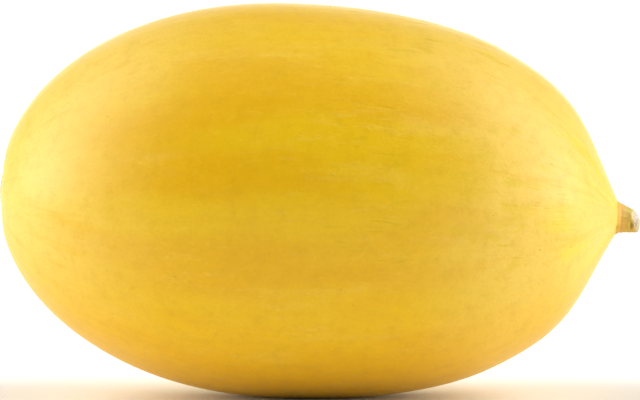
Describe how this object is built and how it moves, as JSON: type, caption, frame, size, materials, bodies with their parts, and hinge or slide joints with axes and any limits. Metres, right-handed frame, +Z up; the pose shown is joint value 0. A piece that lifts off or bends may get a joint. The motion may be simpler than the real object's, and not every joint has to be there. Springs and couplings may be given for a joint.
{
  "type": "melon",
  "caption": "Whole yellow oblong melon with a smooth waxy rind, lying on its side on a small flat spot, with a short cut stub of stem at one end.",
  "frame": {"origin": "on the surface that the melon lies on, under the middle of the whole melon with its stem", "axes": "+X along the melon towards the stem end, +Z up, +Y across to the far side; the fruit's own axis dips 2.35 degrees below +X towards the stem"},
  "size_m": [0.2388, 0.147, 0.1466],
  "materials": {
    "rind": "satin",
    "peduncle": "matte"
  },
  "bodies": {
    "root": {"fruit": "rind", "stem": "peduncle"}
  },
  "joints": []
}
